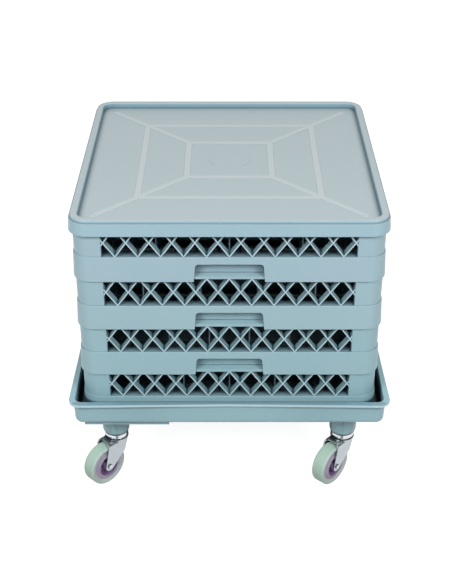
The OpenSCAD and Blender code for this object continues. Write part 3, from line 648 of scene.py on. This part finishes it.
def barrel_cup(name, node_name):
    """Race cup with a slightly bulging wall, within the solid's own box."""
    low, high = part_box(node_name)
    centre = (low + high) / 2
    outer = (high.x - low.x) / 2
    inner = outer - CUP_SHEET_MM * MM
    bore = CUP_BORE_MM * MM
    under_top = high.z - CUP_SHEET_MM * MM
    steps = [i / CUP_RINGS for i in range(CUP_RINGS + 1)]
    wall = [(outer - CUP_BULGE_MM * MM * (2 * s - 1) ** 2, high.z + (low.z - high.z) * s) for s in steps]
    outline = [(bore, high.z)] + wall + [(inner, low.z), (inner, under_top), (bore, under_top)]
    bm = bmesh.new()
    points = [bm.verts.new((centre.x + r, centre.y, z)) for r, z in outline]
    edges = [bm.edges.new((a, b)) for a, b in zip(points, points[1:] + points[:1])]
    bmesh.ops.spin(bm, geom=points + edges, cent=(centre.x, centre.y, 0), axis=(0, 0, 1), angle=math.tau,
                   steps=CUP_STEPS, use_merge=True)
    bmesh.ops.recalc_face_normals(bm, faces=bm.faces)
    placed(name, bm, [node_name])


print("cup bulge in mm:", CUP_BULGE_MM)

# %% [markdown]
# The other visible pieces of a caster are softened like the mouldings. A hub and its tread also get their
# distance from the axle written on every vertex. The axle is known from the wheel's joint, as a point and
# a direction.

# %% Casters
CASTERS = ("fl", "fr", "rl", "rr")
CASTER_ROUND_MM = {"fork": 0.4, "axle_bolt": 0.5, "axle_nut": 0.12, "hub": 0.4, "tread": 0.4}
joint_of = {j["name"]: j for j in frame["joints"]}


def mark_from_axle(piece, joint):
    """Writes each vertex's distance from the joint's axis on the mesh, in millimetres."""
    point, axis = Vector(joint["pos_m"]), Vector(joint["axis"]).normalized()
    reach = [(v.co - point).cross(axis).length / MM for v in piece.data.vertices]
    piece.data.attributes.new(FROM_AXLE, "FLOAT", "POINT").data.foreach_set("value", reach)
    print("from", round(min(reach), 1), "to", round(max(reach), 1), "mm off the axle")


for c in CASTERS:
    barrel_cup(f"caster_{c}_race_cup_soft", f"caster_{c}_race_cup")
    for part, radius_mm in CASTER_ROUND_MM.items():
        piece = softened(f"caster_{c}_{part}_soft", [f"caster_{c}_{part}"], radius_mm)
        if part in ("hub", "tread"):
            mark_from_axle(piece, joint_of[f"wheel_{c}_spin"])

# %% [markdown]
# The stage is a pale floor in a plain studio. The floor shows white to the camera, but it throws back
# only a third of the light, so the undersides stay dark. It still takes the object's shadow.
# In mirror images it is white too, except for painted dark reflections that draw the shape of the chrome:
# a dark round painted where the dolly keeps the light off, and a dark wedge painted ahead of each front
# caster, like the black cards that a photographer sets beside a shiny thing. A point lies in a wedge if the
# slope of its line from the caster is near the wedge's slope.

# %% Finish of the floor
FLOOR_COLOUR, FLOOR_ROUGHNESS, FLOOR_GLOW = "#A0A0A0", 0.9, 0.9
# Painted dark reflection under the dolly: its middle, and from where it fades to where it ends.
UNDER_DOLLY_M = (0, 0.2, 0)
UNDER_START_M, UNDER_END_M = 0.34, 0.41  # from where the dark round fades to where it ends
CASTER_M = joint_of["swivel_fr_turn"]["pos_m"][0]
# Painted dark wedges in the floor's mirror image: their slope, where they start, and the slopes off it at which
# they fade and end.
WEDGE_SLOPE, WEDGE_START_M = 0.126, 0.02
WEDGE_SPREAD = (0.14, 0.26)  # slopes off the card's own at which it fades and ends

floor_material, tree = new_material("floor_matt_white")
place = add(tree, "TexCoord").outputs["Object"]
offset = add(tree, "VectorMath", {0: place, 1: UNDER_DOLLY_M}, operation="SUBTRACT").outputs[0]
away = add(tree, "VectorMath", {0: offset}, operation="LENGTH").outputs["Value"]
clear = add(tree, "MapRange", {"Value": away, "From Min": UNDER_START_M, "From Max": UNDER_END_M},
            interpolation_type="SMOOTHSTEP").outputs["Result"]
axis = add(tree, "SeparateXYZ", {"Vector": place}).outputs
ahead = add(tree, "Math", {0: -CASTER_M, 1: axis["Y"]}, operation="SUBTRACT").outputs[0]
ahead = add(tree, "Math", {0: ahead, 1: WEDGE_START_M}, operation="MAXIMUM").outputs[0]
across = add(tree, "Math", {0: axis["X"]}, operation="ABSOLUTE").outputs[0]
across = add(tree, "Math", {0: across, 1: CASTER_M}, operation="SUBTRACT").outputs[0]
slope = add(tree, "Math", {0: across, 1: ahead}, operation="DIVIDE").outputs[0]
slope = add(tree, "Math", {0: slope, 1: WEDGE_SLOPE}, operation="ADD").outputs[0]
slope = add(tree, "Math", {0: slope}, operation="ABSOLUTE").outputs[0]
beside = add(tree, "MapRange", {"Value": slope, "From Min": WEDGE_SPREAD[0], "From Max": WEDGE_SPREAD[1]},
             interpolation_type="SMOOTHSTEP").outputs["Result"]
ray = add(tree, "LightPath").outputs
seen = ray["Is Glossy Ray"]
for share in (clear, beside):
    seen = add(tree, "Math", {0: seen, 1: share}, operation="MULTIPLY").outputs[0]
for kind in ("Is Camera Ray", "Is Transmission Ray"):
    seen = add(tree, "Math", {0: seen, 1: ray[kind]}, operation="MAXIMUM").outputs[0]
glow = add(tree, "Math", {0: seen, 1: FLOOR_GLOW}, operation="MULTIPLY").outputs[0]
matt = add(tree, "BsdfPrincipled", {"Base Color": linear(FLOOR_COLOUR), "Roughness": FLOOR_ROUGHNESS,
                                    "Specular IOR Level": 0.0, "Emission Color": linear("#FFFFFF"),
                                    "Emission Strength": glow})
add(tree, "OutputMaterial", {"Surface": matt.outputs["BSDF"]})
print("floor finish:", floor_material.name, "casters off the middle in m:", CASTER_M)

# %% [markdown]
# The floor itself is one square, so large that its edges are far out of the picture.

# %% Floor
FLOOR_M = 30

floor_bm = bmesh.new()
bmesh.ops.create_grid(floor_bm, x_segments=1, y_segments=1, size=FLOOR_M / 2)
floor_mesh = bpy.data.meshes.new("floor")
floor_bm.to_mesh(floor_mesh)
floor_bm.free()
floor_mesh.materials.append(floor_material)
floor = bpy.data.objects.new("floor", floor_mesh)
bpy.context.scene.collection.objects.link(floor)
print("floor in m:", FLOOR_M)

# %% [markdown]
# The world is the room: bright overhead, dim along the walls. Chrome needs those dim walls, because a
# mirror in an all white room is white and has no shape. Only the camera sees the world as plain white.

# %% World
WALL_LIGHT, CEILING_LIGHT, BACKGROUND = 0.12, 0.5, 1.0

world = bpy.data.worlds.new("studio")
bpy.context.scene.world = world
world.use_nodes = True
tree = world.node_tree
tree.nodes.clear()
direction = add(tree, "TexCoord").outputs["Generated"]
up = add(tree, "SeparateXYZ", {"Vector": direction}).outputs["Z"]
room = add(tree, "MapRange", {"Value": up, "To Min": WALL_LIGHT, "To Max": CEILING_LIGHT}).outputs["Result"]
camera_ray = add(tree, "LightPath").outputs["Is Camera Ray"]
strength = add(tree, "Mix", {"Factor": camera_ray, "A": room, "B": BACKGROUND}, data_type="FLOAT")
sky = add(tree, "Background", {"Color": linear("#FFFFFF"), "Strength": strength.outputs["Result"]})
add(tree, "OutputWorld", {"Surface": sky.outputs["Background"]})
print("room light:", WALL_LIGHT, "to", CEILING_LIGHT)

# %% [markdown]
# Two soft boxes stand in front, left and right of the camera, and a weaker and larger one behind. All
# look at the middle of the stack.

# %% Lamps
LAMPS = (
    # name, place in m, size in m, power in W
    ("left_box", (-1.3, -1.8, 2.0), 1.0, 36),
    ("right_box", (1.3, -1.8, 2.0), 1.0, 38),
    ("back_box", (0.0, 2.6, 1.9), 2.6, 14),
)
AIM_M = Vector((0, 0, 0.25))

for name, place, size, power in LAMPS:
    lamp_data = bpy.data.lights.new(name, "AREA")
    lamp_data.size = size
    lamp_data.energy = power
    lamp = bpy.data.objects.new(name, lamp_data)
    lamp.location = place
    lamp.rotation_euler = (AIM_M - Vector(place)).to_track_quat("-Z", "Y").to_euler()
    bpy.context.scene.collection.objects.link(lamp)
bpy.context.scene.view_settings.view_transform = "Standard"
print("lamps:", [name for name, *_ in LAMPS])
